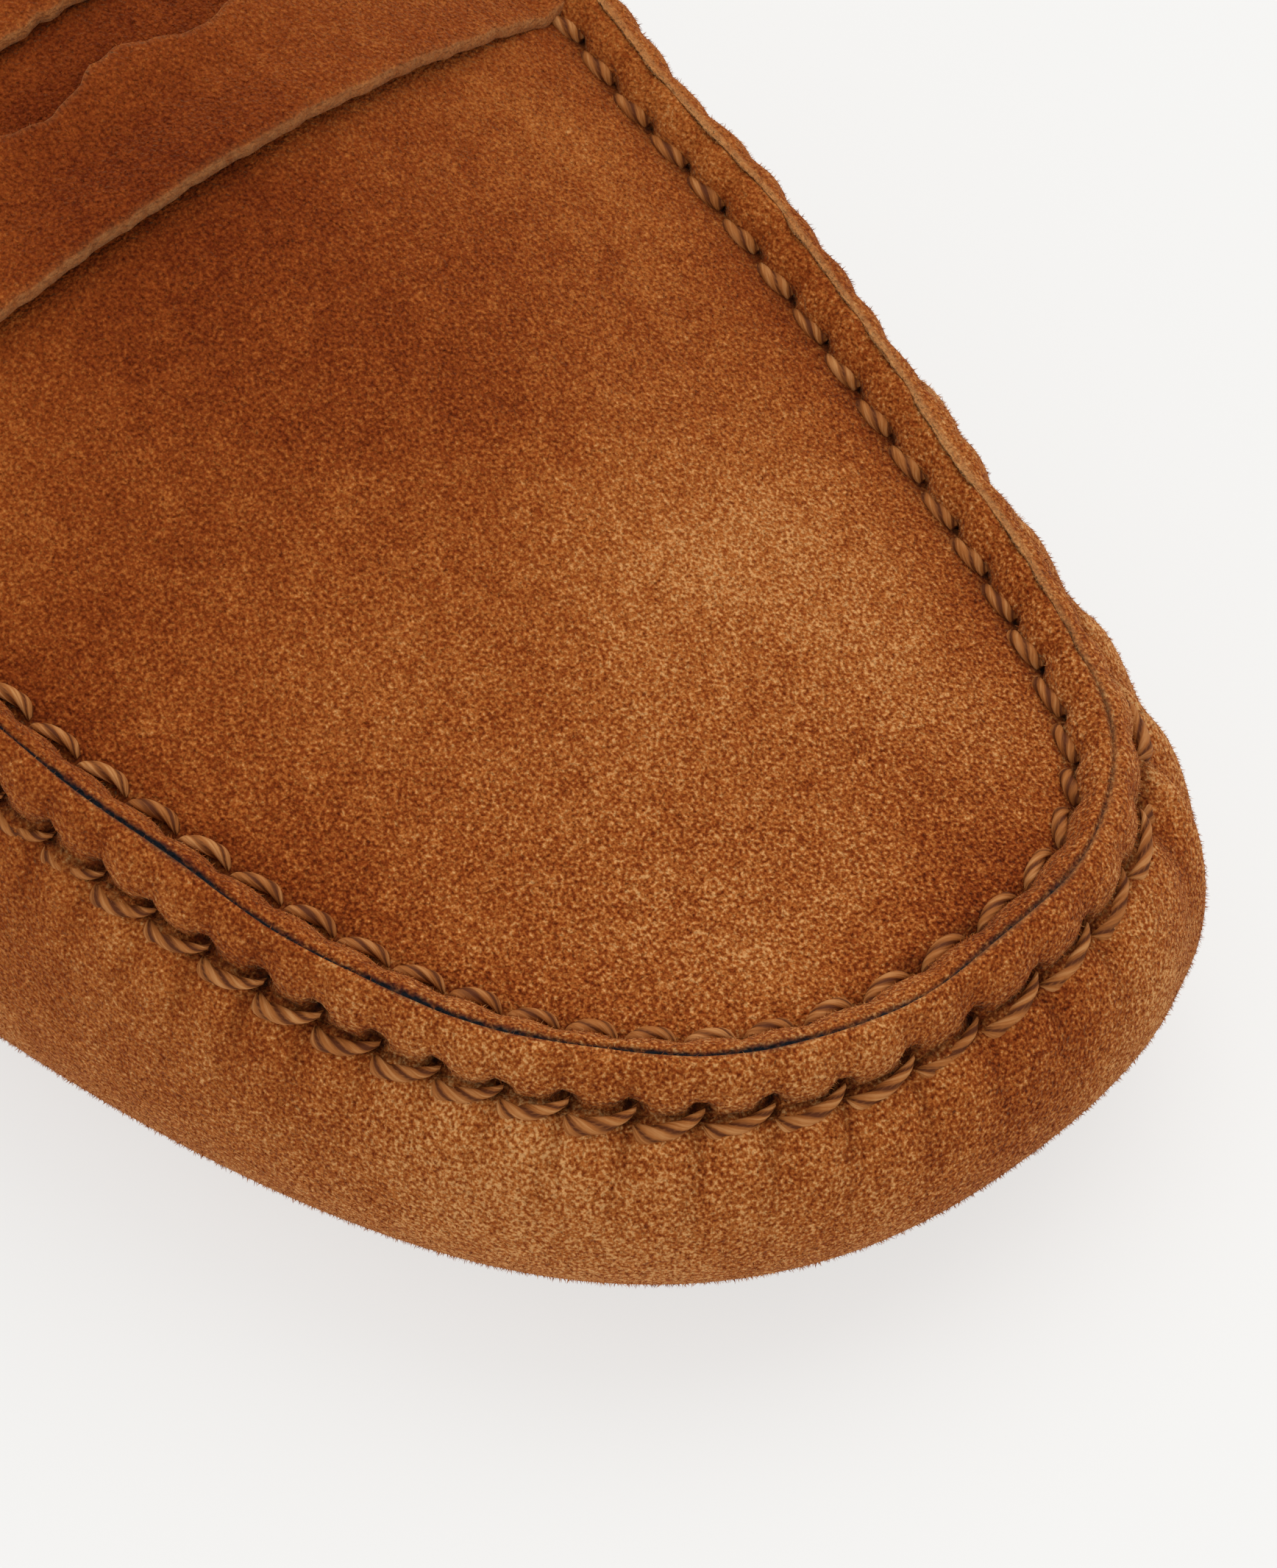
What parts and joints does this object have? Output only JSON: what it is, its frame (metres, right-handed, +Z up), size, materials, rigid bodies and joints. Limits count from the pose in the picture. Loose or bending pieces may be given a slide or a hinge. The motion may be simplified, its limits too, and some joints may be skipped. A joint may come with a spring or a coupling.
{
  "type": "loafer",
  "caption": "Right suede penny loafer of moccasin build, with a raised hand-sewn apron seam, a slit strap, a thin outsole and a low heel.",
  "frame": {"origin": "on the floor, at the middle of the shoe's length and width", "axes": "+X to the toe, +Y to the inner side of the foot, +Z up"},
  "size_m": [0.288, 0.0982, 0.0701],
  "materials": {
    "suede": "tan suede, brushed nap",
    "lining_leather": "natural calf, satin",
    "sole_rubber": "dark brown, matt"
  },
  "bodies": {
    "root": {"upper": "suede", "strap": "suede", "insole": "lining_leather", "outsole": "sole_rubber", "heel": "sole_rubber"}
  },
  "joints": []
}
